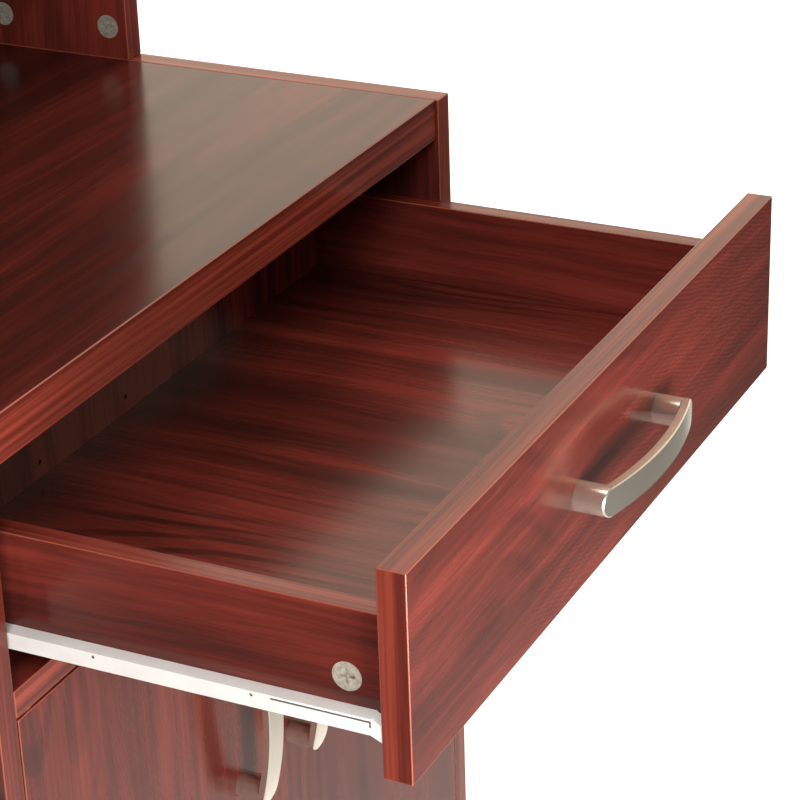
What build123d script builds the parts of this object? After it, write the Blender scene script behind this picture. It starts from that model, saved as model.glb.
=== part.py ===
from build123d import *
import os
from collections import namedtuple

os.makedirs("parts", exist_ok=True)

# A computer desk: a continuous worktop between two end panels, a pedestal on the right
# with a drawer over a two-door cabinet, a kneehole with a pull-out keyboard tray on the
# left, and a hutch at the back. Millimetres. X runs along the desk with the pedestal on
# the +X side, -Y is the front where the user sits, and Z=0 is the floor. The origin is
# on the floor under the middle of the desk's plan.

# ---------------------------------------------------------------- driving dimensions
desk_width = 1200.0         # over the two end panels
desk_depth = 480.0          # end panels, front edge to rear edge
desk_height = 750.0         # floor to worktop surface
pedestal_width = 510.0      # over the pedestal's two side panels
hutch_height = 460.0        # above the worktop
hutch_setback = 216.0       # from the end panels' front edges to the hutch's

board = 15.0                # panels, shelves, doors and drawer front
box_board = 12.0            # drawer sides and back
worktop_thickness = 25.0
hardboard = 3.0             # backs and drawer bottom
arris = 0.8                 # rounding along every board edge
glide_height = 4.0

worktop_setback = 2.0       # worktop front edge behind the end panels' front edges
drawer_gap_above = 6.0      # worktop underside to drawer front
drawer_front_height = 108.0
drawer_gap_below = 2.0
drawer_side_gap = 1.0       # drawer front to the panel beside it
drawer_pulled_out = 211.0   # how far the drawer stands open as modelled
drawer_front_rise = 28.5    # drawer front above the top of the box
drawer_box_rise = 18.0      # underside of the box above the drawer front's lower edge
drawer_inner_depth = 271.5
drawer_floor_rise = 8.5     # box underside to the underside of the drawer bottom
groove_depth = 5.0
groove_clearance = 0.1
back_hole_places = (-95.0, -9.0)   # two fixing holes in the drawer back, from its middle
back_hole_rise = 9.0
back_hole_radius = 1.5
back_screw_insets = (15.0, 16.5)   # drawer back's screws, from the box's underside and top

door_gap = 1.5              # above, below and between the doors
door_side_gap = 1.0         # door to the panel beside it
door_split_shift = -7.0     # meeting gap, from the middle of the pedestal
plinth_height = 60.0        # floor to underside of the cabinet bottom
plinth_setback = 30.0
shelf_height = 330.0        # floor to underside of the loose shelf
shelf_setback = 40.0
shelf_gap = 1.0
shelf_pin_radius = 2.5
shelf_pin_inset = 40.0
shelf_pin_reach = 7.0       # out of the panel
shelf_pin_bite = 8.0        # into the panel
glide_radius = 6.5
glide_rounding = 1.0
glide_inset = 45.0          # from the panels' front and rear edges
glide_nail_radius = 1.25
glide_nail_length = 12.0

modesty_height = 325.0
modesty_inset = 25.0        # from the rear edges of the panels
hutch_shelf_height = 300.0  # worktop to underside of the hutch shelf
hutch_front_inset = 2.0     # hutch boards behind the hutch sides' front edges
hutch_bay_width = 640.0     # clear width between the two dividers

tray_clearance = 75.0       # worktop underside to the top of the tray
tray_setback = 12.0         # tray front edge behind the end panels' front edges
tray_stop_height = 12.0     # strip that keeps a keyboard on the tray
tray_stop_inset = 20.0

# Roller slides: white pressed-steel members, the same for the drawer and the tray.
slide_length = 300.0
slide_gap = 9.5             # drawer box or tray to the panel beside it
steel = 1.2
runner_width = 7.9          # outward runner of the moving member
runner_lip = 8.5            # turned-down outer edge of the runner
moving_height = 13.0
moving_foot = 10.0          # flange under the drawer side or the tray
moving_end_gap = 15.0       # closed: end panel front edge to the moving member
fixed_end_gap = 17.0        # end panel front edge to the fixed member
fixed_clearance = 0.9       # fixed member's channel to the moving member's web
ramp_length = 5.6           # runner's dipped front end
ramp_drop = 2.6
slit_length = 51.0
slit_inset = 5.3
slit_width = 1.0
slit_hook = 3.4
lip_hole_places = (66.0, 150.0)    # along the runner, from its front end
lip_hole_radius = 0.9
roller_radius = 10.0
roller_lip_clearance = 0.2  # roller's near face to the runner's lip
roller_web_clearance = 0.5  # roller's far face to the moving member's web
roller_room = 1.0           # roller's rim to the cut end of the steel beside it
roller_clearance = 0.05     # front roller to the runner above it
channel_clearance = 0.2     # rear roller to the channel above and below
runner_clearance = 0.4      # runner to the channel's top flange
front_roller_place = 20.0   # from the fixed member's front end
rear_roller_place = 11.0    # from the moving member's rear end
stud_radius = 2.0
stud_clearance = 0.05
stud_head_radius = 3.6
stud_head_thickness = 1.1
stud_head_clearance = 0.2   # stud head to the floor of the roller's recess
roller_recess_radius = 4.2
roller_recess_depth = 1.5
rail_screw_places = (60.0, 150.0, 240.0)    # from the fixed member's front end
rail_screw_drop = 13.5      # below the top of the runner
foot_screw_places = (40.0, 150.0, 260.0)    # from the moving member's front end
foot_screw_inset = 5.0      # from the outer face of the drawer side or the tray

# Bow handles: two round posts and a flat bowed band with round ends.
handle_spacing = 107.0
handle_post_radius = 8.0
handle_post_length = 12.0
handle_band = 4.5
handle_bow = 8.5
handle_bevel = 0.6
drawer_handle_shift = 5.0   # from the middle of the drawer front
door_handle_drop = 106.0    # door top to the middle of its handle
door_handle_inset = 30.0    # from the meeting gap
handle_screw_radius = 2.0
handle_screw_clearance = 0.2
handle_screw_bite = 9.0
handle_screw_head = 4.0
handle_screw_head_thickness = 2.4

# Door pivots: a pin in each end of the door turns in a bush in the board beyond it.
pivot_inset = 12.0          # from the door's outer edge
pivot_depth = 5.0           # behind the door's face
pivot_radius = 2.0
pivot_clearance = 0.05
pivot_bite = 12.0           # pin length inside the door
pivot_reach = 8.0           # pin length inside the bush
pivot_collar_radius = 3.4
pivot_collar_gap = 0.1
bush_radius = 3.5
bush_length = 9.0

# Magnetic catch under the shelf over the meeting gap, with a strike on each door.
catch_width = 46.0
catch_depth = 14.0
catch_height = 13.0
catch_clearance = 0.3
catch_screw_inset = 5.0     # from the catch's ends
strike_width = 14.0
strike_height = 10.0
strike_thickness = 1.5
strike_offset = 13.0        # from the meeting gap to the middle of a strike
strike_margin = 1.0         # strike to the top of its door

# Cam locks and their bolts, which join one board's end to another board's face.
cam_radius = 7.5
cam_depth = 10.0
cam_edge = 20.5             # cam centre to the end of its board
cam_inset = 60.0            # cam rows from the front and rear edges of a board
hutch_cam_inset = 14.0      # outermost cams from the edges of the hutch's sides
hutch_cam_pitch = 80.0      # most between two cams of a hutch side
drawer_cam_rise = 26.0      # from the underside of the box
cam_cross_length = 8.0
cam_cross_width = 1.6
cam_cross_depth = 1.6
bolt_line = 6.0             # bolt axis below the face that holds the cam
bolt_radius = 2.5
bolt_head_radius = 3.4
bolt_head_start = 1.0       # from the cam's centre
bolt_head_length = 4.0
bolt_bite = 11.0            # bolt length inside the mating board
bolt_hole_clearance = 0.3
bolt_head_clearance = 0.1
overrun = 1.0               # how far a cut runs on past the face it opens

# Screws and nails.
screw_radius = 1.5
screw_length = 12.0
screw_head_radius = 3.0
screw_head_thickness = 1.2
back_screw_length = 32.0
nail_radius = 0.8
nail_length = 14.0
nail_head_radius = 2.0
nail_head_thickness = 0.6
nail_pitch = 130.0          # most between two nails
cabinet_nail_inset = 20.0   # end nails from the ends of the cabinet back
hutch_nail_inset = 56.0
back_margin = 1.0           # backs inside the outline of the boards they cover
back_overlap = 6.0          # hutch back down over the worktop's rear edge

# ---------------------------------------------------------------- derived places
right = desk_width / 2
left = -desk_width / 2
front = -desk_depth / 2
back = desk_depth / 2
top = desk_height
worktop_underside = top - worktop_thickness

bay = (right - pedestal_width + board, right - board)          # drawer and cabinet opening
knee = (left + board, right - pedestal_width)                  # kneehole opening
bay_middle = (bay[0] + bay[1]) / 2

drawer_top = worktop_underside - drawer_gap_above
drawer_bottom_z = drawer_top - drawer_front_height
shelf_top = drawer_bottom_z - drawer_gap_below
shelf_underside = shelf_top - board
cabinet_floor = plinth_height + board
hutch_front = front + hutch_setback
hutch_top_z = top + hutch_height
hutch_shelf_z = top + hutch_shelf_height

# Drawer box, standing open.
front_back = front - drawer_pulled_out + board                 # rear face of the drawer front
box = (bay[0] + slide_gap, bay[1] - slide_gap)                 # over the box sides
box_top = drawer_top - drawer_front_rise
box_underside = drawer_bottom_z + drawer_box_rise
box_rear = front_back + slide_length
back_face = front_back + drawer_inner_depth                    # inner face of the drawer back

# The slide's level is the top of the runner. The drawer's follows from the drawer front,
# the tray's from the tray. Across, the roller stands between the runner's lip and web.
roller_offset = slide_gap - runner_width + steel + roller_lip_clearance
roller_width = slide_gap - steel - roller_web_clearance - roller_offset
fixed_depth = slide_gap - steel - fixed_clearance
drawer_runner = box_underside - steel + moving_height
tray = (knee[0] + slide_gap, knee[1] - slide_gap)
tray_top = worktop_underside - tray_clearance
tray_underside = tray_top - board
tray_runner = tray_underside - steel + moving_height
tray_front = front + tray_setback
tray_rear = front + moving_end_gap + slide_length
moving_closed = front + moving_end_gap
fixed_front = front + fixed_end_gap
drawer_floor = box_underside + drawer_floor_rise

door_bottom = cabinet_floor + door_gap
door_top = shelf_underside - door_gap
meeting = bay_middle + door_split_shift
left_door_span = (bay[0] + door_side_gap, meeting - door_gap / 2)
right_door_span = (meeting + door_gap / 2, bay[1] - door_side_gap)
door_face = front
door_rear = front + board

panel_foot = glide_height
leg_middles = (left + board / 2, (right - pedestal_width) + board / 2, right - board / 2)
glide_ys = (front + glide_inset, back - glide_inset)

divider_left = (-hutch_bay_width / 2 - board, -hutch_bay_width / 2)
divider_right = (hutch_bay_width / 2, hutch_bay_width / 2 + board)

X_DIR, Y_DIR, Z_DIR = Vector(1, 0, 0), Vector(0, 1, 0), Vector(0, 0, 1)


# ---------------------------------------------------------------- shared features
def slab(x, y, z, mode=Mode.ADD):
    """A block between the low and high limits given for each axis."""
    with BuildSketch(Plane.XY.offset(z[0])) as outline:
        with Locations(((x[0] + x[1]) / 2, (y[0] + y[1]) / 2)):
            Rectangle(x[1] - x[0], y[1] - y[0])
    extrude(outline.sketch, amount=z[1] - z[0], mode=mode)


def panel(x, y, z):
    """A board with every edge eased."""
    slab(x, y, z)
    fillet(edges(), arris)


def rod(start, direction, radius, length, mode=Mode.ADD):
    """A round bar, or with Mode.SUBTRACT a round hole."""
    with BuildSketch(Plane(origin=start, z_dir=direction)) as outline:
        Circle(radius)
    extrude(outline.sketch, amount=length, mode=mode)


def drill(start, direction, radius, length):
    rod(start, direction, radius, length, Mode.SUBTRACT)


def spread(low, high, pitch):
    """Evenly spaced places from one limit to the other, no further apart than the pitch."""
    count = int((high - low) // pitch) + 1
    return [low + (high - low) * i / count for i in range(count + 1)]


def save(part, name):
    part.label = name
    export_step(part, f"parts/{name}.step")


# ---------------------------------------------------------------- cam joints
CamJoint = namedtuple("CamJoint", "holder mate seat")


def cam_joint(holder, mate, at, toward, outward):
    """A cam sunk in the holder at a point on its face, its bolt running into the mate."""
    return CamJoint(holder, mate, Plane(origin=at, x_dir=toward, z_dir=outward))


def end_joints(holder, ends, mates, ys, z, outward):
    """Cams near both ends of a board that lies along X."""
    return [
        cam_joint(holder, mate, (end - side * cam_edge, y, z), X_DIR * side, outward)
        for end, mate, side in zip(ends, mates, (-1, 1))
        for y in ys
    ]


front_and_rear = (front + cam_inset, back - cam_inset)
hutch_cams_y = spread(hutch_front + hutch_cam_inset, back - hutch_cam_inset, hutch_cam_pitch)
hutch_rows = (hutch_front + cam_inset, back - cam_inset)
desk_ends = ("left_side_panel", "right_side_panel")
hutch_ends = ("hutch_left_side", "hutch_right_side")
bay_ends = ("pedestal_panel", "right_side_panel")
modesty = (knee[0], knee[1])
modesty_rear = back - modesty_inset
modesty_rows = (worktop_underside - modesty_height + cam_inset, worktop_underside - cam_inset)

desk_joints = (
    end_joints("worktop", knee[:1] + bay[1:], desk_ends, front_and_rear, worktop_underside, -Z_DIR)
    + end_joints("drawer_shelf", bay, bay_ends, front_and_rear, shelf_underside, -Z_DIR)
    + end_joints("cabinet_bottom", bay, bay_ends, front_and_rear, plinth_height, -Z_DIR)
    + end_joints("hutch_top", knee[:1] + bay[1:], hutch_ends, hutch_rows, hutch_top_z - board, -Z_DIR)
    + end_joints("hutch_shelf", knee[:1] + bay[1:], hutch_ends, hutch_rows, hutch_shelf_z, -Z_DIR)
    + [
        cam_joint("modesty_panel", mate, (end - side * cam_edge, modesty_rear, z), X_DIR * side, Y_DIR)
        for end, mate, side in zip(knee, ("left_side_panel", "pedestal_panel"), (-1, 1))
        for z in modesty_rows
    ]
    + [
        cam_joint("kick_plate", mate, (end - side * cam_edge, front + plinth_setback + board,
                                       plinth_height / 2), X_DIR * side, Y_DIR)
        for end, mate, side in zip(bay, bay_ends, (-1, 1))
    ]
    + [
        cam_joint("pedestal_panel", "worktop", (bay[0], y, worktop_underside - cam_edge), Z_DIR, X_DIR)
        for y in front_and_rear
    ]
    + [
        cam_joint(holder, mate, (x, y, top + cam_edge), -Z_DIR, X_DIR * side)
        for holder, mate, x, side in zip(hutch_ends, desk_ends, (knee[0], bay[1]), (1, -1))
        for y in hutch_cams_y
    ]
    + [
        cam_joint(divider, mate, (x, y, z), Z_DIR * up, X_DIR * side)
        for divider, x, side in (("hutch_left_divider", divider_left[0], -1),
                                 ("hutch_right_divider", divider_right[1], 1))
        for mate, z, up in (("worktop", top + cam_edge, -1), ("hutch_shelf", hutch_shelf_z - cam_edge, 1))
        for y in hutch_rows
    ]
)

# In the drawer, one cam in the outer face of each side draws the front on.
drawer_joints = [
    cam_joint(side, "drawer_front", (x, front_back + cam_edge, box_underside + drawer_cam_rise),
              -Y_DIR, X_DIR * out)
    for side, x, out in (("drawer_left_side", box[0], -1), ("drawer_right_side", box[1], 1))
]

# One cam and one bolt about the seat: Z out of the board's face, X towards the mate.
with BuildPart() as cam:
    rod((0, 0, 0), -Z_DIR, cam_radius, cam_depth)
    with BuildSketch(Plane.XY) as cross:
        Rectangle(cam_cross_length, cam_cross_width)
        Rectangle(cam_cross_width, cam_cross_length)
    extrude(cross.sketch, amount=-cam_cross_depth, mode=Mode.SUBTRACT)
    drill((0, 0, -bolt_line), X_DIR, bolt_head_radius + bolt_head_clearance, cam_radius + overrun)

with BuildPart() as bolt:
    rod((bolt_head_start, 0, -bolt_line), X_DIR, bolt_head_radius, bolt_head_length)
    rod((bolt_head_start, 0, -bolt_line), X_DIR, bolt_radius, cam_edge + bolt_bite - bolt_head_start)

with BuildPart() as cam_pocket:
    rod((0, 0, 0), -Z_DIR, cam_radius, cam_depth)
    rod((0, 0, -bolt_line), X_DIR, bolt_radius + bolt_hole_clearance, cam_edge + overrun)

with BuildPart() as bolt_socket:
    rod((cam_edge, 0, -bolt_line), X_DIR, bolt_radius, bolt_bite)


def cut_cam_joints(name, joints):
    """Sink the cam pockets and bolt sockets that belong to one board."""
    pockets = [joint.seat for joint in joints if joint.holder == name]
    sockets = [joint.seat for joint in joints if joint.mate == name]
    if pockets:
        with Locations(*pockets):
            add(cam_pocket.part, mode=Mode.SUBTRACT)
    if sockets:
        with Locations(*sockets):
            add(bolt_socket.part, mode=Mode.SUBTRACT)


# ---------------------------------------------------------------- slide geometry
# Each of the four slides is described by the panel face it is fixed to, the direction
# from there towards the drawer or tray, and the level of its runner.
Slide = namedtuple("Slide", "wall inward runner")
drawer_slides = (Slide(bay[0], 1, drawer_runner), Slide(bay[1], -1, drawer_runner))
tray_slides = (Slide(knee[0], 1, tray_runner), Slide(knee[1], -1, tray_runner))


def span(slide, near, far):
    """X limits between two distances from the panel."""
    ends = (slide.wall + slide.inward * near, slide.wall + slide.inward * far)
    return (min(ends), max(ends))


def channel_floor(slide):
    return slide.runner + runner_clearance - 2 * (roller_radius + channel_clearance)


def front_axle(slide):
    return slide.runner - steel - roller_clearance - roller_radius


def rear_axle(slide):
    return channel_floor(slide) + channel_clearance + roller_radius


def rail_screw_starts(slide, x):
    return [(x, fixed_front + place, slide.runner - rail_screw_drop) for place in rail_screw_places]


def fixed_rail(slide):
    """The member on the panel: a channel open towards the drawer, with a roller stud."""
    floor = channel_floor(slide)
    ceiling = slide.runner + runner_clearance
    rear = fixed_front + slide_length
    axle_y = fixed_front + front_roller_place
    slab(span(slide, 0, steel), (fixed_front, rear), (floor - steel, ceiling + steel))
    slab(span(slide, 0, fixed_depth), (fixed_front, rear), (ceiling, ceiling + steel))
    slab(span(slide, 0, fixed_depth), (axle_y + roller_radius + roller_room, rear), (floor - steel, floor))
    head = roller_offset + roller_width - roller_recess_depth + stud_head_clearance
    start = slide.wall + slide.inward * steel / 2
    rod((start, axle_y, front_axle(slide)), X_DIR * slide.inward, stud_radius, head - steel / 2)
    rod((slide.wall + slide.inward * head, axle_y, front_axle(slide)), X_DIR * slide.inward,
        stud_head_radius, stud_head_thickness)
    for place in rail_screw_starts(slide, slide.wall):
        drill(place, X_DIR * slide.inward, screw_radius, steel)


def runner_layer(x, front_end, rear_end, level, depth):
    """The runner from its top down to a depth, with its dipped front end."""
    with BuildSketch(Plane.YZ.offset(x[0])) as outline:
        with BuildLine():
            Polyline(
                (rear_end, level),
                (front_end + ramp_length, level),
                (front_end, level - ramp_drop),
                (front_end, level - ramp_drop - depth),
                (front_end + ramp_length, level - depth),
                (rear_end, level - depth),
                close=True,
            )
        make_face()
    extrude(outline.sketch, amount=x[1] - x[0])


def moving_member(slide, front_end):
    """The member on the drawer side or tray: web, foot under the board, and runner."""
    rear = front_end + slide_length
    runner_end = rear - rear_roller_place - roller_radius - roller_room
    level = slide.runner
    web = span(slide, slide_gap - steel, slide_gap)
    lip = span(slide, slide_gap - runner_width, slide_gap - runner_width + steel)
    slab(web, (front_end + ramp_length, rear), (level - moving_height, level))
    slab(span(slide, slide_gap - steel, slide_gap + moving_foot), (front_end, rear),
         (level - moving_height, level - moving_height + steel))
    runner_layer(span(slide, slide_gap - runner_width, slide_gap - steel / 2), front_end,
                 runner_end, level, steel)
    runner_layer(lip, front_end, runner_end, level, runner_lip)
    # The slit along the fold, which hooks down behind the front end.
    slit_start = front_end + slit_inset
    slit_top = level - steel
    slab(lip, (slit_start, slit_start + slit_length), (slit_top - slit_width, slit_top), Mode.SUBTRACT)
    slab(lip, (slit_start, slit_start + slit_width), (slit_top - slit_hook, slit_top), Mode.SUBTRACT)
    across = min(lip)
    for place in lip_hole_places:
        drill((across, front_end + place, level - steel - lip_hole_radius), X_DIR, lip_hole_radius, steel)
    # The rear roller's stud, riveted to the web.
    stud_y = rear - rear_roller_place
    outward = X_DIR * -slide.inward
    web_face = slide.wall + slide.inward * (slide_gap - steel / 2)
    reach = slide_gap - steel / 2 - (roller_offset + roller_recess_depth - stud_head_clearance)
    rod((web_face, stud_y, rear_axle(slide)), outward, stud_radius, reach)
    rod((web_face - slide.inward * reach, stud_y, rear_axle(slide)), outward, stud_head_radius,
        stud_head_thickness)
    for place in foot_screw_places:
        drill((slide.wall + slide.inward * (slide_gap + foot_screw_inset), front_end + place,
               level - moving_height), Z_DIR, screw_radius, steel)


def roller(slide, y, z, recess_far):
    """A nylon roller, with a recess for its stud's head in the face away from the panel or towards it."""
    near = slide.wall + slide.inward * roller_offset
    inward = X_DIR * slide.inward
    rod((near, y, z), inward, roller_radius, roller_width)
    drill((near, y, z), inward, stud_radius + stud_clearance, roller_width)
    if recess_far:
        start = near + slide.inward * (roller_width - roller_recess_depth)
    else:
        start = near
    drill((start, y, z), inward, roller_recess_radius, roller_recess_depth)


def rail_screw_holes(slides):
    """Holes in a panel for the screws of each rail on it."""
    for slide in slides:
        for place in rail_screw_starts(slide, slide.wall):
            drill(place, X_DIR * -slide.inward, screw_radius, screw_length)


def foot_screw_starts(slide, front_end):
    x = slide.wall + slide.inward * (slide_gap + foot_screw_inset)
    return [(x, front_end + place, slide.runner - moving_height) for place in foot_screw_places]


def screw(start, direction, length):
    """A round-headed screw whose head sits on the surface at the start."""
    rod(start, direction, screw_radius, length)
    rod(start, -direction, screw_head_radius, screw_head_thickness)


# ---------------------------------------------------------------- desk panels
def glide_holes(x):
    for y in glide_ys:
        drill((x, y, panel_foot), Z_DIR, glide_nail_radius, glide_nail_length)


def shelf_pin_starts():
    """Centres of the four shelf pins where they leave the panels."""
    z = shelf_height - shelf_pin_radius
    ys = (front + shelf_setback + shelf_pin_inset, back - shelf_pin_inset)
    return [(bay[0], y, z, 1) for y in ys] + [(bay[1], y, z, -1) for y in ys]


def shelf_pin_holes(x):
    for pin_x, y, z, side in shelf_pin_starts():
        if pin_x == x:
            drill((pin_x, y, z), X_DIR * -side, shelf_pin_radius, shelf_pin_bite)


# The backs are nailed to the rear edges of the upright boards.
nail_tip = back + hardboard - nail_length
cabinet_back_z = (plinth_height + back_margin, worktop_underside - back_margin)
hutch_back_z = (top - back_overlap, hutch_top_z - back_margin)


def nail_places(xs, z_limits, inset):
    return [(x, z) for x in xs for z in spread(z_limits[0] + inset, z_limits[1] - inset, nail_pitch)]


cabinet_nails = nail_places(leg_middles[1:], cabinet_back_z, cabinet_nail_inset)
hutch_nails = nail_places(leg_middles[::2], hutch_back_z, hutch_nail_inset)


def nail_holes(nails, x_limits):
    """Holes for the nails that fall in one upright board, or in a back."""
    for x, z in nails:
        if x_limits[0] < x < x_limits[1]:
            drill((x, nail_tip, z), Y_DIR, nail_radius, nail_length)


with BuildPart() as right_side_panel:
    panel((right - board, right), (front, back), (panel_foot, top))
    cut_cam_joints("right_side_panel", desk_joints)
    rail_screw_holes(drawer_slides[1:])
    shelf_pin_holes(bay[1])
    glide_holes(leg_middles[2])
    nail_holes(cabinet_nails, (right - board, right))
save(right_side_panel.part, "right_side_panel")

with BuildPart() as left_side_panel:
    panel((left, left + board), (front, back), (panel_foot, top))
    cut_cam_joints("left_side_panel", desk_joints)
    rail_screw_holes(tray_slides[:1])
    glide_holes(leg_middles[0])
save(left_side_panel.part, "left_side_panel")

with BuildPart() as pedestal_panel:
    panel((knee[1], bay[0]), (front, back), (panel_foot, worktop_underside))
    cut_cam_joints("pedestal_panel", desk_joints)
    rail_screw_holes(drawer_slides[:1] + tray_slides[1:])
    shelf_pin_holes(bay[0])
    glide_holes(leg_middles[1])
    nail_holes(cabinet_nails, (knee[1], bay[0]))
save(pedestal_panel.part, "pedestal_panel")

with BuildPart() as worktop:
    panel((knee[0], bay[1]), (front + worktop_setback, back), (worktop_underside, top))
    cut_cam_joints("worktop", desk_joints)
save(worktop.part, "worktop")

# Pivot pins stand in line above and below each door's outer edge.
pivot_xs = (left_door_span[0] + pivot_inset, right_door_span[1] - pivot_inset)
pivot_y = door_face + pivot_depth
bush_seats = [(x, z, up) for x in pivot_xs for z, up in ((shelf_underside, 1), (cabinet_floor, -1))]


def bush_holes(z):
    for x, seat_z, up in bush_seats:
        if seat_z == z:
            drill((x, pivot_y, z), Z_DIR * up, bush_radius, bush_length)


catch_front = door_rear + strike_thickness + catch_clearance
catch_screw_reach = catch_width / 2 - catch_screw_inset
catch_screw_xs = (meeting - catch_screw_reach, meeting + catch_screw_reach)
catch_y = catch_front + catch_depth / 2

with BuildPart() as drawer_shelf:
    panel(bay, (front, back), (shelf_underside, shelf_top))
    cut_cam_joints("drawer_shelf", desk_joints)
    bush_holes(shelf_underside)
    for x in catch_screw_xs:
        drill((x, catch_y, shelf_underside), Z_DIR, screw_radius, screw_length - catch_height / 2)
save(drawer_shelf.part, "drawer_shelf")

with BuildPart() as cabinet_bottom:
    panel(bay, (front, back), (plinth_height, cabinet_floor))
    cut_cam_joints("cabinet_bottom", desk_joints)
    bush_holes(cabinet_floor)
save(cabinet_bottom.part, "cabinet_bottom")

with BuildPart() as kick_plate:
    panel(bay, (front + plinth_setback, front + plinth_setback + board), (panel_foot, plinth_height))
    cut_cam_joints("kick_plate", desk_joints)
save(kick_plate.part, "kick_plate")

with BuildPart() as cabinet_shelf:
    panel((bay[0] + shelf_gap, bay[1] - shelf_gap), (front + shelf_setback, back - shelf_gap),
          (shelf_height, shelf_height + board))
save(cabinet_shelf.part, "cabinet_shelf")

with BuildPart() as shelf_pins:
    for x, y, z, side in shelf_pin_starts():
        rod((x - side * shelf_pin_bite, y, z), X_DIR * side, shelf_pin_radius,
            shelf_pin_bite + shelf_pin_reach)
save(shelf_pins.part, "shelf_pins")

with BuildPart() as cabinet_back:
    slab((knee[1] + back_margin, right - back_margin), (back, back + hardboard), cabinet_back_z)
    nail_holes(cabinet_nails, (left, right))
save(cabinet_back.part, "cabinet_back")

with BuildPart() as modesty_panel:
    panel(modesty, (modesty_rear - board, modesty_rear),
          (worktop_underside - modesty_height, worktop_underside))
    cut_cam_joints("modesty_panel", desk_joints)
save(modesty_panel.part, "modesty_panel")

# ---------------------------------------------------------------- hutch
with BuildPart() as hutch_right_side:
    panel((right - board, right), (hutch_front, back), (top, hutch_top_z))
    cut_cam_joints("hutch_right_side", desk_joints)
    nail_holes(hutch_nails, (right - board, right))
save(hutch_right_side.part, "hutch_right_side")

with BuildPart() as hutch_left_side:
    panel((left, left + board), (hutch_front, back), (top, hutch_top_z))
    cut_cam_joints("hutch_left_side", desk_joints)
    nail_holes(hutch_nails, (left, left + board))
save(hutch_left_side.part, "hutch_left_side")

hutch_board_y = (hutch_front + hutch_front_inset, back)

with BuildPart() as hutch_top:
    panel((knee[0], bay[1]), hutch_board_y, (hutch_top_z - board, hutch_top_z))
    cut_cam_joints("hutch_top", desk_joints)
save(hutch_top.part, "hutch_top")

with BuildPart() as hutch_shelf:
    panel((knee[0], bay[1]), hutch_board_y, (hutch_shelf_z, hutch_shelf_z + board))
    cut_cam_joints("hutch_shelf", desk_joints)
save(hutch_shelf.part, "hutch_shelf")

with BuildPart() as hutch_left_divider:
    panel(divider_left, hutch_board_y, (top, hutch_shelf_z))
    cut_cam_joints("hutch_left_divider", desk_joints)
save(hutch_left_divider.part, "hutch_left_divider")

with BuildPart() as hutch_right_divider:
    panel(divider_right, hutch_board_y, (top, hutch_shelf_z))
    cut_cam_joints("hutch_right_divider", desk_joints)
save(hutch_right_divider.part, "hutch_right_divider")

with BuildPart() as hutch_back:
    slab((left + back_margin, right - back_margin), (back, back + hardboard), hutch_back_z)
    nail_holes(hutch_nails, (left, right))
save(hutch_back.part, "hutch_back")

with BuildPart() as back_nails:
    for x, z in cabinet_nails + hutch_nails:
        rod((x, nail_tip, z), Y_DIR, nail_radius, nail_length)
        rod((x, back + hardboard, z), Y_DIR, nail_head_radius, nail_head_thickness)
save(back_nails.part, "back_nails")

# ---------------------------------------------------------------- desk fittings
with BuildPart() as cam_locks:
    with Locations(*[joint.seat for joint in desk_joints]):
        add(cam.part)
save(cam_locks.part, "cam_locks")

with BuildPart() as cam_bolts:
    with Locations(*[joint.seat for joint in desk_joints]):
        add(bolt.part)
save(cam_bolts.part, "cam_bolts")

with BuildPart() as floor_glides:
    for x in leg_middles:
        for y in glide_ys:
            rod((x, y, 0), Z_DIR, glide_radius, glide_height)
            rod((x, y, glide_height), Z_DIR, glide_nail_radius, glide_nail_length)
    fillet(edges().group_by(Axis.Z)[0], glide_rounding)
save(floor_glides.part, "floor_glides")

with BuildPart() as drawer_rail_left:
    fixed_rail(drawer_slides[0])
save(drawer_rail_left.part, "drawer_rail_left")

with BuildPart() as drawer_rail_right:
    fixed_rail(drawer_slides[1])
save(drawer_rail_right.part, "drawer_rail_right")

with BuildPart() as tray_rail_left:
    fixed_rail(tray_slides[0])
save(tray_rail_left.part, "tray_rail_left")

with BuildPart() as tray_rail_right:
    fixed_rail(tray_slides[1])
save(tray_rail_right.part, "tray_rail_right")

with BuildPart() as rail_screws:
    for slide in drawer_slides + tray_slides:
        for place in rail_screw_starts(slide, slide.wall + slide.inward * steel):
            screw(place, X_DIR * -slide.inward, screw_length)
save(rail_screws.part, "rail_screws")

with BuildPart() as door_bushes:
    for x, z, up in bush_seats:
        rod((x, pivot_y, z), Z_DIR * up, bush_radius, bush_length)
        drill((x, pivot_y, z), Z_DIR * up, pivot_radius + pivot_clearance, bush_length)
save(door_bushes.part, "door_bushes")

with BuildPart() as magnetic_catch:
    slab((meeting - catch_width / 2, meeting + catch_width / 2), (catch_front, catch_front + catch_depth),
         (shelf_underside - catch_height, shelf_underside))
    for x in catch_screw_xs:
        drill((x, catch_y, shelf_underside - catch_height), Z_DIR, screw_head_radius, catch_height / 2)
        drill((x, catch_y, shelf_underside - catch_height), Z_DIR, screw_radius, catch_height)
        screw((x, catch_y, shelf_underside - catch_height / 2), Z_DIR, screw_length)
save(magnetic_catch.part, "magnetic_catch")


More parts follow.
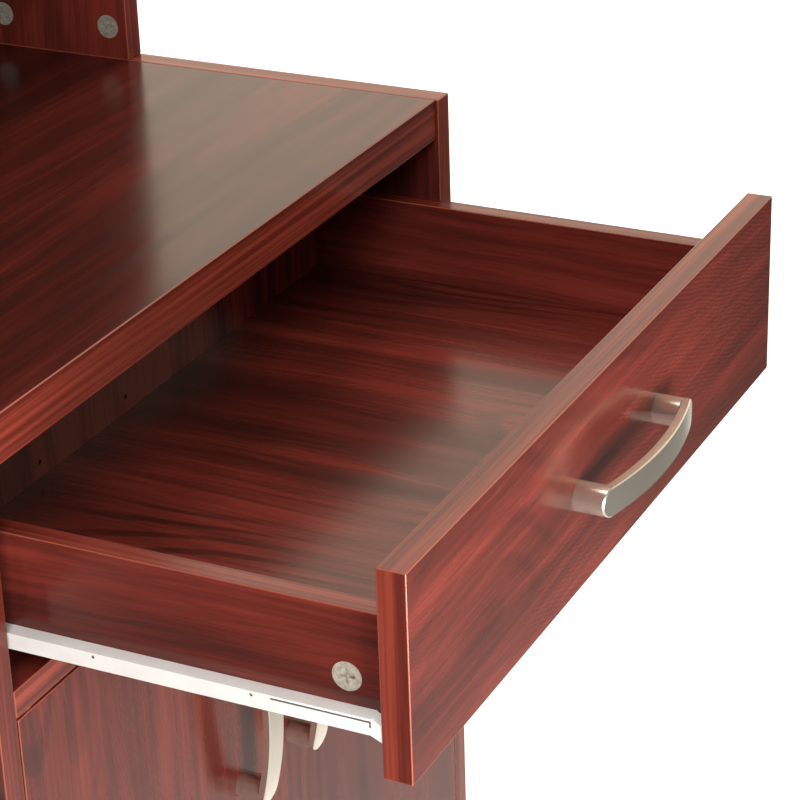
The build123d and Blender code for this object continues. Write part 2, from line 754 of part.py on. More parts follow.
# ---------------------------------------------------------------- handles
def bow_handle(face):
    """A handle on a board's face: the plane's X runs along it and its Z out of the board."""
    half = handle_spacing / 2 + handle_post_radius
    base = handle_post_length
    beside = Plane(origin=face.origin, x_dir=face.x_dir, z_dir=-face.y_dir)
    with BuildSketch(beside) as band:
        with BuildLine():
            inner = ThreePointArc((-half, base), (0, base + handle_bow), (half, base))
            outer = ThreePointArc(
                (-half, base + handle_band),
                (0, base + handle_band + handle_bow),
                (half, base + handle_band),
            )
            Line(inner @ 0, outer @ 0)
            Line(inner @ 1, outer @ 1)
        make_face()
    extrude(band.sketch, amount=handle_post_radius, both=True)
    with BuildSketch(face) as round_ends:
        SlotOverall(2 * half, 2 * handle_post_radius)
    extrude(round_ends.sketch, amount=base + handle_band + handle_bow + overrun, mode=Mode.INTERSECT)
    outer_face = faces().sort_by(Axis(face.origin, face.z_dir))[-1]
    chamfer(outer_face.edges(), handle_bevel)
    with BuildSketch(face) as posts:
        with GridLocations(handle_spacing, 0, 2, 1):
            Circle(handle_post_radius)
    extrude(posts.sketch, amount=base + handle_band / 2)
    with BuildSketch(face) as threads:
        with GridLocations(handle_spacing, 0, 2, 1):
            Circle(handle_screw_radius)
    extrude(threads.sketch, amount=handle_screw_bite, mode=Mode.SUBTRACT)


def handle_screw_places(face):
    return [face.origin + face.x_dir * (side * handle_spacing / 2) for side in (-1, 1)]


def handle_screw_holes(face):
    for place in handle_screw_places(face):
        drill(place, -face.z_dir, handle_screw_radius + handle_screw_clearance, board)


def handle_screws(face):
    for place in handle_screw_places(face):
        seat = place - face.z_dir * board
        rod(seat, face.z_dir, handle_screw_radius, board + handle_screw_bite)
        rod(seat, -face.z_dir, handle_screw_head, handle_screw_head_thickness)


# ---------------------------------------------------------------- drawer
drawer_middle_z = (drawer_top + drawer_bottom_z) / 2
drawer_handle_face = Plane(
    origin=(bay_middle + drawer_handle_shift, front_back - board, drawer_middle_z),
    x_dir=X_DIR,
    z_dir=-Y_DIR,
)
bottom_x = (box[0] + box_board - groove_depth, box[1] - box_board + groove_depth)
bottom_y = (front_back - groove_depth, back_face + groove_depth)
groove_z = (drawer_floor - groove_clearance, drawer_floor + hardboard + groove_clearance)
box_inside = (box[0] + box_board, box[1] - box_board)
back_screw_zs = (box_underside + back_screw_insets[0], box_top - back_screw_insets[1])
back_screw_y = back_face + box_board / 2


def back_screw_starts(x):
    return [(x, back_screw_y, z) for z in back_screw_zs]


def drawer_groove():
    """The groove that holds the drawer bottom, in whichever board is being made."""
    slab((bottom_x[0] - groove_clearance, bottom_x[1] + groove_clearance),
         (bottom_y[0] - groove_clearance, bottom_y[1] + groove_clearance), groove_z, Mode.SUBTRACT)


with BuildPart() as drawer_front:
    panel((bay[0] + drawer_side_gap, bay[1] - drawer_side_gap), (front_back - board, front_back),
          (drawer_bottom_z, drawer_top))
    cut_cam_joints("drawer_front", drawer_joints)
    drawer_groove()
    handle_screw_holes(drawer_handle_face)
save(drawer_front.part, "drawer_front")

for name, x, out, slide in (
    ("drawer_left_side", (box[0], box_inside[0]), -1, drawer_slides[0]),
    ("drawer_right_side", (box_inside[1], box[1]), 1, drawer_slides[1]),
):
    with BuildPart() as drawer_side:
        panel(x, (front_back, box_rear), (box_underside, box_top))
        cut_cam_joints(name, drawer_joints)
        drawer_groove()
        outer = x[0] if out < 0 else x[1]
        for start in back_screw_starts(outer):
            drill(start, X_DIR * -out, screw_radius, box_board)
        for start in foot_screw_starts(slide, front_back):
            drill(start, Z_DIR, screw_radius, screw_length)
    save(drawer_side.part, name)

with BuildPart() as drawer_back:
    panel(box_inside, (back_face, back_face + box_board), (box_underside, box_top))
    drawer_groove()
    for x, side in zip(box_inside, (1, -1)):
        for start in back_screw_starts(x):
            drill(start, X_DIR * side, screw_radius, back_screw_length - box_board)
    for place in back_hole_places:
        drill((bay_middle + place, back_face, drawer_floor + hardboard + back_hole_rise), Y_DIR,
              back_hole_radius, box_board)
save(drawer_back.part, "drawer_back")

with BuildPart() as drawer_bottom:
    slab(bottom_x, bottom_y, (drawer_floor, drawer_floor + hardboard))
save(drawer_bottom.part, "drawer_bottom")

with BuildPart() as drawer_slide_left:
    moving_member(drawer_slides[0], front_back)
save(drawer_slide_left.part, "drawer_slide_left")

with BuildPart() as drawer_slide_right:
    moving_member(drawer_slides[1], front_back)
save(drawer_slide_right.part, "drawer_slide_right")

with BuildPart() as drawer_screws:
    for slide in drawer_slides:
        for start in foot_screw_starts(slide, front_back):
            screw(start, Z_DIR, screw_length)
    for x, side in zip(box, (1, -1)):
        for start in back_screw_starts(x):
            screw(start, X_DIR * side, back_screw_length)
save(drawer_screws.part, "drawer_screws")

with BuildPart() as drawer_cams:
    with Locations(*[joint.seat for joint in drawer_joints]):
        add(cam.part)
save(drawer_cams.part, "drawer_cams")

with BuildPart() as drawer_cam_bolts:
    with Locations(*[joint.seat for joint in drawer_joints]):
        add(bolt.part)
save(drawer_cam_bolts.part, "drawer_cam_bolts")

with BuildPart() as drawer_handle:
    bow_handle(drawer_handle_face)
save(drawer_handle.part, "drawer_handle")

with BuildPart() as drawer_handle_screws:
    handle_screws(drawer_handle_face)
save(drawer_handle_screws.part, "drawer_handle_screws")

# ---------------------------------------------------------------- keyboard tray
with BuildPart() as keyboard_tray:
    panel(tray, (tray_front, tray_rear), (tray_underside, tray_top))
    for slide in tray_slides:
        for start in foot_screw_starts(slide, moving_closed):
            drill(start, Z_DIR, screw_radius, screw_length)
save(keyboard_tray.part, "keyboard_tray")

with BuildPart() as tray_back_strip:
    panel((tray[0] + tray_stop_inset, tray[1] - tray_stop_inset), (tray_rear - board, tray_rear),
          (tray_top, tray_top + tray_stop_height))
save(tray_back_strip.part, "tray_back_strip")

with BuildPart() as tray_slide_left:
    moving_member(tray_slides[0], moving_closed)
save(tray_slide_left.part, "tray_slide_left")

with BuildPart() as tray_slide_right:
    moving_member(tray_slides[1], moving_closed)
save(tray_slide_right.part, "tray_slide_right")

with BuildPart() as tray_screws:
    for slide in tray_slides:
        for start in foot_screw_starts(slide, moving_closed):
            screw(start, Z_DIR, screw_length)
save(tray_screws.part, "tray_screws")

# ---------------------------------------------------------------- rollers
for name, slides, y, axle, recess_far in (
    ("drawer_front_rollers", drawer_slides, fixed_front + front_roller_place, front_axle, True),
    ("drawer_rear_rollers", drawer_slides, box_rear - rear_roller_place, rear_axle, False),
    ("tray_front_rollers", tray_slides, fixed_front + front_roller_place, front_axle, True),
    ("tray_rear_rollers", tray_slides, tray_rear - rear_roller_place, rear_axle, False),
):
    with BuildPart() as rollers:
        for slide in slides:
            roller(slide, y, axle(slide), recess_far)
    save(rollers.part, name)

# ---------------------------------------------------------------- doors
for name, x_span, pivot_x, side in (
    ("left", left_door_span, pivot_xs[0], -1),
    ("right", right_door_span, pivot_xs[1], 1),
):
    handle_face = Plane(
        origin=(meeting + side * door_handle_inset, door_face, door_top - door_handle_drop),
        x_dir=Z_DIR,
        z_dir=-Y_DIR,
    )
    strike_x = meeting + side * strike_offset
    strike_z = shelf_underside - catch_height / 2
    with BuildPart() as door:
        panel(x_span, (door_face, door_rear), (door_bottom, door_top))
        handle_screw_holes(handle_face)
        drill((pivot_x, pivot_y, door_top), -Z_DIR, pivot_radius, pivot_bite)
        drill((pivot_x, pivot_y, door_bottom), Z_DIR, pivot_radius, pivot_bite)
    save(door.part, f"{name}_door")

    with BuildPart() as door_handle:
        bow_handle(handle_face)
    save(door_handle.part, f"{name}_door_handle")

    with BuildPart() as door_handle_screws:
        handle_screws(handle_face)
    save(door_handle_screws.part, f"{name}_door_handle_screws")

    with BuildPart() as door_pivots:
        for z, up in ((door_top, 1), (door_bottom, -1)):
            rod((pivot_x, pivot_y, z - up * pivot_bite), Z_DIR * up, pivot_radius,
                pivot_bite + door_gap + pivot_reach)
            rod((pivot_x, pivot_y, z), Z_DIR * up, pivot_collar_radius, door_gap - pivot_collar_gap)
    save(door_pivots.part, f"{name}_door_pivots")

    with BuildPart() as door_strike:
        slab((strike_x - strike_width / 2, strike_x + strike_width / 2),
             (door_rear, door_rear + strike_thickness),
             (strike_z - strike_height / 2, min(strike_z + strike_height / 2, door_top - strike_margin)))
    save(door_strike.part, f"{name}_door_strike")
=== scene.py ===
import math

import bpy
from mathutils import Matrix, Vector

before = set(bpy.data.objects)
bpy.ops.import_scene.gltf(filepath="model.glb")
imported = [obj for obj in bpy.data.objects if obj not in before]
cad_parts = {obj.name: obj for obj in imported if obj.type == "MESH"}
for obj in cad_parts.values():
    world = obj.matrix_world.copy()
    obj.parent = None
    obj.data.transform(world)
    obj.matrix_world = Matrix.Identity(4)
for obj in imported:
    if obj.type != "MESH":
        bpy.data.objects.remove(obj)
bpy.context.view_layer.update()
scene = bpy.context.scene

X, Y, Z = 0, 1, 2

# ---------------------------------------------------------------- camera
# A long lens looks down across the pedestal from its front left corner. view_lens is in
# millimetres, and every other length in this script in metres.
view_azimuth = math.radians(-63.03)
view_elevation = math.radians(25.49)
view_roll = math.radians(-2.02)
view_distance = 1.3942
view_lens = 119.8
view_target = Vector((0.34292, -0.33063, 0.67472))


def make_camera():
    forward = Vector((
        -math.sin(view_azimuth) * math.cos(view_elevation),
        math.cos(view_azimuth) * math.cos(view_elevation),
        -math.sin(view_elevation),
    ))
    level = forward.cross(Vector((0, 0, 1))).normalized()
    upright = level.cross(forward)
    across = level * math.cos(view_roll) + upright * math.sin(view_roll)
    up = across.cross(forward)
    data = bpy.data.cameras.new("camera")
    data.lens = view_lens
    camera = bpy.data.objects.new("camera", data)
    scene.collection.objects.link(camera)
    turn = Matrix((across, up, -forward)).transposed().to_4x4()
    camera.matrix_world = Matrix.Translation(view_target - forward * view_distance) @ turn
    scene.camera = camera


# ---------------------------------------------------------------- shader building
def srgb(red, green, blue):
    """A colour given as 0 to 255 screen values, as the linear values that a shader takes."""
    def linear(value):
        value /= 255
        return value / 12.92 if value <= 0.04045 else ((value + 0.055) / 1.055) ** 2.4
    return (linear(red), linear(green), linear(blue), 1.0)


# Most of a noise lies between these two values.
noise_low, noise_high = 0.3, 0.7


class NodeTree:
    """A node tree. Each call adds nodes and returns the output socket of the last one."""

    def __init__(self, tree):
        self.tree = tree

    def add(self, kind, inputs, output=0, **settings):
        node = self.tree.nodes.new(kind)
        for name, value in settings.items():
            setattr(node, name, value)
        for key, value in inputs.items():
            self.feed(node.inputs[key], value)
        return node.outputs[output]

    def feed(self, socket, value):
        if isinstance(value, bpy.types.NodeSocket):
            self.tree.links.new(value, socket)
        else:
            socket.default_value = value

    def math(self, operation, a, b=0.0):
        return self.add("ShaderNodeMath", {0: a, 1: b}, operation=operation)

    def weighted_sum(self, *terms):
        """The sum of (value, weight) pairs."""
        total, *others = [self.math("MULTIPLY", value, weight) for value, weight in terms]
        for other in others:
            total = self.math("ADD", total, other)
        return total

    def between(self, factor, a, b):
        """The number a where factor is 0, and b where it is 1."""
        return self.add("ShaderNodeMix", {0: factor, 2: a, 3: b}, data_type="FLOAT")

    def blend(self, factor, a, b):
        """The colour a where factor is 0, and b where it is 1."""
        return self.add("ShaderNodeMix", {0: factor, 6: a, 7: b}, output=2, data_type="RGBA")

    def step(self, value, low, high, to_low=0.0, to_high=1.0):
        """Goes smoothly from to_low to to_high while the value goes from low to high."""
        inputs = {0: value, 1: low, 2: high, 3: to_low, 4: to_high}
        return self.add("ShaderNodeMapRange", inputs, interpolation_type="SMOOTHSTEP")

    def spread(self, noise, to_low=0.0, to_high=1.0):
        """The same over the range of a noise."""
        return self.step(noise, noise_low, noise_high, to_low, to_high)


class MaterialTree(NodeTree):
    """A new material's nodes, with the object's own coordinates and normal to work from."""

    def __init__(self, name):
        self.material = bpy.data.materials.new(name)
        self.material.use_nodes = True
        super().__init__(self.material.node_tree)
        self.shader = self.tree.nodes["Principled BSDF"]
        coordinates = self.tree.nodes.new("ShaderNodeTexCoord")
        self.place = self.separate(coordinates.outputs["Object"])
        self.normal = self.separate(coordinates.outputs["Normal"])

    def set(self, **inputs):
        """Feeds the shader's own sockets, named with _ for a space."""
        for name, value in inputs.items():
            self.feed(self.shader.inputs[name.replace("_", " ")], value)

    def separate(self, vector):
        node = self.tree.nodes.new("ShaderNodeSeparateXYZ")
        self.tree.links.new(vector, node.inputs[0])
        return [node.outputs[i] for i in range(3)]

    def point(self, a, b, c):
        return self.add("ShaderNodeCombineXYZ", {0: a, 1: b, 2: c})

    def noise(self, vector, detail, roughness=0.5):
        inputs = {"Vector": vector, "Scale": 1.0, "Detail": detail, "Roughness": roughness}
        return self.add("ShaderNodeTexNoise", inputs)

    def mottle(self, per_metre, detail, roughness=0.5):
        """Noise of one frequency for all three axes, or of one for each."""
        each = per_metre if isinstance(per_metre, list) else [per_metre] * 3
        scaled = [self.math("MULTIPLY", p, frequency) for p, frequency in zip(self.place, each)]
        return self.noise(self.point(*scaled), detail, roughness)

    def stretched(self, along, across, layer, per_metre, detail, roughness):
        """Noise drawn out along the grain: per_metre is its frequency along and across."""
        vector = self.point(
            self.math("MULTIPLY", along, per_metre[0]),
            self.math("MULTIPLY", across, per_metre[1]),
            layer,
        )
        return self.noise(vector, detail, roughness)

    def ramp(self, value, stops):
        node = self.tree.nodes.new("ShaderNodeValToRGB")
        elements = node.color_ramp.elements
        while len(elements) < len(stops):
            elements.new(0.5)
        for element, (position, colour) in zip(elements, stops):
            element.position = position
            element.color = colour
        self.tree.links.new(value, node.inputs[0])
        return node.outputs[0]

    def tones(self, noise, dark, light):
        """From dark to light over the range of a noise."""
        return self.ramp(noise, [(noise_low, dark), (noise_high, light)])

    def bump(self, height, distance, strength):
        inputs = {"Height": height, "Distance": distance, "Strength": strength}
        self.set(Normal=self.add("ShaderNodeBump", inputs))


# ---------------------------------------------------------------- laminate
face_tones = [
    (0.00, srgb(42, 18, 15)),
    (0.25, srgb(64, 25, 20)),
    (0.50, srgb(89, 34, 27)),
    (0.75, srgb(113, 44, 35)),
    (1.00, srgb(136, 58, 46)),
]
band_tones = [
    (0.00, srgb(76, 28, 21)),
    (0.50, srgb(102, 40, 30)),
    (1.00, srgb(128, 54, 41)),
]
# Painted highlight: a light line along each arris, where a board's banded edge meets its faces.
arris_highlight_tone = srgb(156, 84, 65)
arris_highlight_share = 0.6

# The print is built up from layers of noise, each at its own depth in the noise. After the depth
# come its frequency per metre along and across the grain, its detail and its roughness.
print_layers = {
    "drift": (0.3, (2.4, 7.0), 2.0, 0.5),
    "wander": (1.1, (9.0, 30.0), 2.0, 0.5),
    "broad": (1.7, (2.2, 13.0), 3.0, 0.55),
    "streak": (2.9, (3.6, 62.0), 3.0, 0.55),
    "fibre": (4.1, (13.0, 360.0), 3.0, 0.6),
    "sway": (5.3, (3.2, 9.0), 1.0, 0.4),
    "patch": (6.7, (3.0, 8.0), 1.0, 0.5),
    "pore": (7.3, (40.0, 650.0), 1.0, 0.5),
    "ribbon": (8.1, (2.5, 230.0), 2.0, 0.55),
    "waver": (9.2, (22.0, 30.0), 1.5, 0.4),
}
seed_depth = 11.3       # from one board's print to the next board's
side_depth = 3.0        # from the print of a board's edges to that of either face
facing_limit = 0.6      # a normal further along an axis than this faces that way
drift_reach, wander_reach = 0.035, 0.006
broad_share, streak_share, fibre_share = 0.44, 0.34, 0.22
rings_per_metre, ring_sway, ring_strength = 40.0, 14.0, 0.17
# The ripple's phase is in radians: per metre across and along the grain, and for its bends.
ripple_across, ripple_along, ripple_waver, ripple_strength = 2500.0, 900.0, 16.0, 0.05
pore_shade = 0.84
# The two ends of each smooth step, as values of what the step depends on.
ring_line, ring_patch, ripple_patch = (0.1, 1.0), (0.46, 0.64), (0.62, 0.42)
pore_range, ribbon_range, arris_highlight_range = (0.60, 0.74), (0.32, 0.68), (0.90, 0.995)


class BoardTree(MaterialTree):
    """A printed board's nodes, with noise that follows its grain. grain and thin are the axes of
    its grain and of its thickness."""

    def __init__(self, name, seed, grain, thin):
        super().__init__(name)
        wide = X + Y + Z - grain - thin
        self.facing = [self.math("ABSOLUTE", n) for n in self.normal]
        self.on_band = self.math("LESS_THAN", self.facing[thin], facing_limit)
        on_end = self.math("GREATER_THAN", self.facing[grain], facing_limit)
        self.along = self.between(on_end, self.place[grain], self.place[wide])
        self.across = self.between(self.on_band, self.place[wide], self.place[thin])
        side = self.math("ROUND", self.math("MULTIPLY", self.normal[thin], side_depth))
        self.depth = self.math("ADD", side, seed * seed_depth)
        # The print's lines wander slowly from side to side.
        drift = self.layer("drift", self.across)
        wander = self.layer("wander", self.across)
        shift = self.weighted_sum((drift, drift_reach), (wander, wander_reach))
        self.bent = self.math("ADD", self.across, shift)

    def layer(self, name, across):
        depth, per_metre, detail, roughness = print_layers[name]
        depth = self.math("ADD", self.depth, depth)
        return self.stretched(self.along, across, depth, per_metre, detail, roughness)


def growth_rings(board, patch, strength):
    """Thin dark contours of a slow field, which run with the grain and close into points."""
    sway = board.layer("sway", board.across)
    turns = board.weighted_sum((board.across, rings_per_metre), (sway, ring_sway))
    wave = board.math("SINE", board.math("MULTIPLY", turns, 2 * math.pi))
    shown = board.step(patch, *ring_patch, 0.0, strength)
    return board.math("MULTIPLY", board.step(wave, *ring_line), shown)


def cross_ripple(board, patch, strength):
    """Fine wavy lines that cross the grain at a slant, in patches."""
    waver = board.layer("waver", board.across)
    phase = board.weighted_sum(
        (board.across, ripple_across), (board.along, ripple_along), (waver, ripple_waver))
    shown = board.step(patch, *ripple_patch, 0.0, strength)
    return board.math("MULTIPLY", board.math("SINE", phase), shown)


def wood_figure(board, streak, fibre, rings, ripple, contrast, lift):
    """The print of a board's faces, from 0, which is dark, to 1."""
    broad = board.layer("broad", board.bent)
    patch = board.layer("patch", board.across)
    figure = board.weighted_sum((broad, broad_share), (streak, streak_share), (fibre, fibre_share))
    ringed = growth_rings(board, patch, ring_strength * rings)
    figure = board.math("SUBTRACT", figure, ringed)
    figure = board.math("ADD", figure, cross_ripple(board, patch, ripple_strength * ripple))
    half = 0.5 / contrast
    figure = board.step(figure, 0.5 - half - lift, 0.5 + half - lift)
    # Pores are short dark dashes.
    pored = board.step(board.layer("pore", board.bent), *pore_range, 1.0, pore_shade)
    return board.math("MULTIPLY", figure, pored)


def laminate(name, seed, grain, thin, rings=0.5, ripple=0.12, contrast=2.0, lift=0.0):
    """A printed board: wood figure along the grain on its faces, plainer lengthwise lines on the
    banded edges, and a painted highlight line where the two meet. rings and ripple are how
    strongly they show, and lift lightens the figure."""
    board = BoardTree(name, seed, grain, thin)
    streak = board.layer("streak", board.bent)
    fibre = board.layer("fibre", board.bent)
    figure = wood_figure(board, streak, fibre, rings, ripple, contrast, lift)
    face = board.ramp(figure, face_tones)

    ribbon = board.between(0.2, board.layer("ribbon", board.across), fibre)
    band = board.ramp(board.step(ribbon, *ribbon_range), band_tones)

    facing = board.facing
    flattest = board.math("MAXIMUM", board.math("MAXIMUM", facing[X], facing[Y]), facing[Z])
    # Painted highlight along the arrises, strongest where the normal lies between the axes.
    on_arris_highlight = board.step(flattest, *arris_highlight_range, arris_highlight_share, 0.0)
    board.set(
        Base_Color=board.blend(on_arris_highlight, board.blend(board.on_band, face, band), arris_highlight_tone),
        Roughness=board.spread(streak, 0.23, 0.17),
        IOR=1.5,
    )
    board.bump(streak, distance=0.00004, strength=0.25)
    return board.material


# ---------------------------------------------------------------- other finishes
def hardboard(name, seed):
    """A thin back: the desk's print inside and raw brown fibreboard outside."""
    tree = MaterialTree(name)
    fibres = tree.mottle(700.0, 4.0, 0.7)
    flecks = tree.mottle(90.0, 3.0)
    raw = tree.ramp(tree.between(0.35, fibres, flecks), [
        (0.30, srgb(92, 62, 40)),
        (0.55, srgb(126, 90, 60)),
        (0.75, srgb(150, 112, 80)),
    ])
    streak = tree.stretched(tree.place[Z], tree.place[X], seed, (2.0, 60.0), 4.0, 0.65)
    printed = tree.ramp(tree.spread(streak), face_tones)
    inside = tree.math("LESS_THAN", tree.normal[Y], -0.5)
    tree.set(
        Base_Color=tree.blend(inside, raw, printed),
        Roughness=tree.between(inside, 0.75, 0.3),
    )
    tree.bump(fibres, distance=0.0001, strength=0.5)
    return tree.material


def enamel():
    """White stoved enamel on pressed steel: faint orange peel, and painted shade darkening its
    hollows.
    """
    tree = MaterialTree("white_enamel")
    peel = tree.mottle(900.0, 1.0)
    cloud = tree.mottle(35.0, 3.0)
    painted_shade_openness = tree.add("ShaderNodeAmbientOcclusion", {"Distance": 0.008}, output=1, samples=8,
                        only_local=True)
    clean = tree.tones(cloud, srgb(206, 203, 199), srgb(222, 219, 215))
    tree.set(
        # Painted shade: where ambient occlusion finds a hollow, the enamel is painted grey brown.
        Base_Color=tree.blend(tree.step(painted_shade_openness, 0.15, 0.7), srgb(84, 76, 68), clean),
        Roughness=tree.spread(cloud, 0.28, 0.36),
    )
    tree.bump(peel, distance=0.00004, strength=0.5)
    return tree.material


def nylon():
    """Off-white moulded nylon, which lets a little light in."""
    tree = MaterialTree("roller_nylon")
    cloud = tree.mottle(160.0, 3.0)
    tree.set(
        Base_Color=tree.tones(cloud, srgb(214, 212, 204), srgb(234, 233, 228)),
        Roughness=tree.spread(cloud, 0.4, 0.5),
        Subsurface_Weight=0.15,
        Subsurface_Radius=(0.002, 0.002, 0.0018),
    )
    tree.bump(cloud, distance=0.00005, strength=0.3)
    return tree.material


def satin_nickel(name, along):
    """Nickel brushed along the handle, with a soft satin sheen."""
    tree = MaterialTree(name)
    frequencies = [1300.0] * 3
    frequencies[along] = 40.0
    brushed = tree.mottle(frequencies, 2.0)
    cloud = tree.mottle(60.0, 2.0)
    tree.set(
        Metallic=0.92,
        Base_Color=tree.tones(
            tree.between(0.4, brushed, cloud), srgb(216, 208, 194), srgb(224, 216, 202)),
        Roughness=tree.spread(brushed, 0.25, 0.27),
    )
    tree.bump(brushed, distance=0.000003, strength=0.05)
    return tree.material


def zinc():
    """Bright zinc plate on die-cast cams, bolts, screws and nails."""
    tree = MaterialTree("bright_zinc")
    spangle = tree.mottle(420.0, 3.0, 0.6)
    tree.set(
        Metallic=0.7,
        Base_Color=tree.tones(spangle, srgb(190, 184, 166), srgb(234, 230, 216)),
        Roughness=tree.spread(spangle, 0.32, 0.5),
    )
    tree.bump(spangle, distance=0.00008, strength=0.4)
    return tree.material


def plastic():
    """Brown moulded plastic with a fine stipple."""
    tree = MaterialTree("brown_plastic")
    stipple = tree.mottle(1500.0, 2.0)
    cloud = tree.mottle(90.0, 2.0)
    tree.set(
        Base_Color=tree.tones(cloud, srgb(46, 30, 24), srgb(66, 45, 36)),
        Roughness=tree.spread(stipple, 0.42, 0.55),
    )
    tree.bump(stipple, distance=0.00006, strength=0.5)
    return tree.material


# ---------------------------------------------------------------- what each node is made of
# A board's place in this table is the seed of its print.
boards = {
    # Painted shade: the worktop's negative lift darkens its print against the light on its top.
    "worktop": dict(grain=X, thin=Z, rings=0.2, contrast=1.7, lift=-0.10),
    "hutch_top": dict(grain=X, thin=Z),
    "hutch_shelf": dict(grain=X, thin=Z),
    "drawer_shelf": dict(grain=X, thin=Z, rings=0.4),
    "cabinet_bottom": dict(grain=X, thin=Z),
    "cabinet_shelf": dict(grain=X, thin=Z),
    "keyboard_tray": dict(grain=X, thin=Z, rings=0.6),
    "tray_back_strip": dict(grain=X, thin=Y, rings=0.3, ripple=0.0),
    "kick_plate": dict(grain=X, thin=Y),
    "modesty_panel": dict(grain=X, thin=Y, rings=0.6, ripple=0.2),
    "right_side_panel": dict(grain=Z, thin=X, rings=0.6, ripple=0.2),
    "left_side_panel": dict(grain=Z, thin=X, rings=0.6, ripple=0.2),
    "pedestal_panel": dict(grain=Z, thin=X, rings=0.6),
    "hutch_right_side": dict(grain=Z, thin=X, rings=0.4, lift=0.03),
    "hutch_left_side": dict(grain=Z, thin=X, rings=0.4),
    "hutch_left_divider": dict(grain=Z, thin=X),
    "hutch_right_divider": dict(grain=Z, thin=X),
    "left_door": dict(grain=Z, thin=Y, rings=0.4, ripple=0.3, contrast=1.5),
    "right_door": dict(grain=Z, thin=Y, rings=0.4, ripple=0.3, contrast=1.5),
    "drawer_front": dict(grain=X, thin=Y, rings=0.2, ripple=0.65, contrast=1.7, lift=-0.01),
    "drawer_left_side": dict(grain=Y, thin=X, rings=0.9, ripple=0.0, contrast=1.8),
    "drawer_right_side": dict(grain=Y, thin=X, rings=0.5, ripple=0.0, contrast=1.8, lift=0.04),
    "drawer_back": dict(grain=Z, thin=Y, rings=0.0, ripple=0.0, contrast=3.2, lift=0.08),
    "drawer_bottom": dict(grain=Y, thin=Z, rings=0.6, ripple=0.1, contrast=1.9, lift=-0.02),
}
back_nodes = ("cabinet_back", "hutch_back")
first_back_seed = 40
handle_nodes = {"drawer_handle": X, "left_door_handle": Z, "right_door_handle": Z}
steel_nodes = [
    f"{moving}_{kind}_{side}"
    for moving in ("drawer", "tray")
    for kind in ("rail", "slide")
    for side in ("left", "right")
]
roller_nodes = [
    f"{moving}_{end}_rollers"
    for moving in ("drawer", "tray")
    for end in ("front", "rear")
]
zinc_nodes = (
    "cam_locks", "cam_bolts", "drawer_cams", "drawer_cam_bolts", "rail_screws", "back_nails",
    "drawer_screws", "tray_screws", "drawer_handle_screws", "left_door_handle_screws",
    "right_door_handle_screws", "left_door_pivots", "right_door_pivots", "left_door_strike",
    "right_door_strike", "shelf_pins",
)
plastic_nodes = ("floor_glides", "door_bushes", "magnetic_catch")


def finish_node(node, material):
    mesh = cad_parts[node].data
    mesh.materials.clear()
    mesh.materials.append(material)


def finish_cad_nodes():
    for seed, (node, look) in enumerate(boards.items(), start=1):
        finish_node(node, laminate(f"laminate_{node}", seed, **look))
    for seed, node in enumerate(back_nodes, start=first_back_seed):
        finish_node(node, hardboard(f"hardboard_{node}", seed))
    for node, along in handle_nodes.items():
        finish_node(node, satin_nickel(f"nickel_{node}", along))
    for nodes, material in (
        (steel_nodes, enamel()),
        (roller_nodes, nylon()),
        (zinc_nodes, zinc()),
        (plastic_nodes, plastic()),
    ):
        for node in nodes:
            finish_node(node, material)


# ---------------------------------------------------------------- studio
floor_reach = 7.0
flag_low, flag_high, flag_height = (-6.0, -7.0), (7.0, -0.35), 0.004
glow_direction = Vector((0.92, 0.30, 0.30)).normalized()
glow_edge, glow_core = 0.1, 0.97
glow_colour = (1.0, 0.88, 0.69, 1.0)
white = (1.0, 1.0, 1.0, 1.0)
dim, bright = 0.26, 1.3


def make_plane(name, low, high, height, material):
    """A flat rectangle that isn't part of the object."""
    mesh = bpy.data.meshes.new(name)
    corners = [(low[X], low[Y]), (high[X], low[Y]), (high[X], high[Y]), (low[X], high[Y])]
    mesh.from_pydata([(x, y, height) for x, y in corners], [], [(0, 1, 2, 3)])
    mesh.materials.append(material)
    plane = bpy.data.objects.new(name, mesh)
    scene.collection.objects.link(plane)
    return plane


def pale_floor():
    """Pale studio floor, very faintly clouded."""
    tree = MaterialTree("pale_floor")
    cloud = tree.mottle(1.5, 3.0)
    tree.set(
        Base_Color=tree.tones(cloud, (0.88, 0.88, 0.87, 1), (0.92, 0.92, 0.915, 1)),
        Roughness=0.55,
    )
    return tree.material


def dark_cloth():
    """Nearly black, and half see-through close in front of the desk and to its left."""
    tree = MaterialTree("dark_cloth")
    weave = tree.mottle(900.0, 2.0)
    reach = tree.math("SUBTRACT", tree.math("MULTIPLY", tree.place[X], 0.8), tree.place[Y])
    tree.set(
        Base_Color=tree.tones(weave, (0.03, 0.03, 0.03, 1), (0.05, 0.05, 0.05, 1)),
        Roughness=0.9,
        Alpha=tree.step(reach, 1.0, 2.5, 0.45, 1.0),
    )
    return tree.material


def make_floor():
    make_plane("floor", (-floor_reach,) * 2, (floor_reach,) * 2, 0, pale_floor())


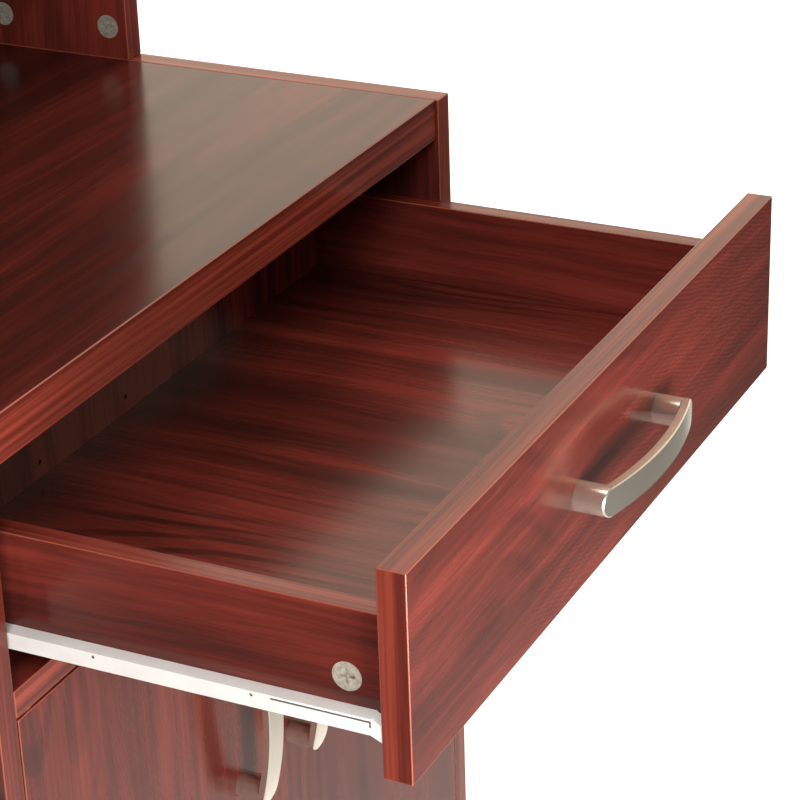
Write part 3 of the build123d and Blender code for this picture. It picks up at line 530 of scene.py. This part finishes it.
def make_flag():
    """A dark cloth on the floor in front, seen only in the gloss of the desk."""
    flag = make_plane("flag", flag_low, flag_high, flag_height, dark_cloth())
    flag.visible_camera = flag.visible_diffuse = flag.visible_shadow = False
    flag.visible_transmission = flag.visible_volume_scatter = False


def make_world():
    """A studio that looks white to the camera. Its light on the desk is warm, brightest from
    beyond the desk and dimmest from behind the camera."""
    world = bpy.data.worlds.new("studio")
    scene.world = world
    world.use_nodes = True
    sky = NodeTree(world.node_tree)
    direction = sky.add("ShaderNodeTexCoord", {}, output="Generated")
    aim = sky.add("ShaderNodeVectorMath", {0: direction, 1: glow_direction}, output="Value",
                  operation="DOT_PRODUCT")
    seen = sky.add("ShaderNodeLightPath", {}, output="Is Camera Ray")
    background = world.node_tree.nodes["Background"]
    level = sky.step(aim, glow_edge, glow_core, dim, bright)
    sky.feed(background.inputs["Strength"], sky.between(seen, level, 1.0))
    sky.feed(background.inputs["Color"], sky.blend(seen, glow_colour, white))


def make_softbox(name, place, target, size, power, mirrored=True):
    """A soft lamp. One that isn't mirrored gives light but no image of itself in the gloss."""
    data = bpy.data.lights.new(name, "AREA")
    data.shape = "RECTANGLE"
    data.size, data.size_y = size
    data.energy = power
    light = bpy.data.objects.new(name, data)
    scene.collection.objects.link(light)
    light.location = place
    light.rotation_euler = (Vector(target) - Vector(place)).to_track_quat("-Z", "Y").to_euler()
    light.visible_glossy = mirrored
    light.visible_camera = False


def make_lamps():
    """The key is low in front of the drawer, near enough for its light to fall off along it. The
    fill comes from the upper front left, and the last lamp lights the floor beyond the desk."""
    make_softbox("key", place=(-0.05, -0.95, 0.56), target=(0.2, -0.4, 0.6),
                 size=(0.4, 0.4), power=9.5)
    make_softbox("fill", place=(-0.95, -0.75, 1.75), target=(0.3, -0.25, 0.7),
                 size=(0.7, 0.7), power=24, mirrored=False)
    make_softbox("overhead", place=(0.3, 0.1, 3.2), target=(0.2, 0.0, 0.7),
                 size=(1.0, 0.6), power=13)
    make_softbox("backdrop_light", place=(2.3, 1.1, 2.4), target=(2.3, 1.1, 0.0),
                 size=(2.4, 2.4), power=110, mirrored=False)


make_camera()
finish_cad_nodes()
make_floor()
make_flag()
make_world()
make_lamps()
scene.view_settings.view_transform = "Standard"
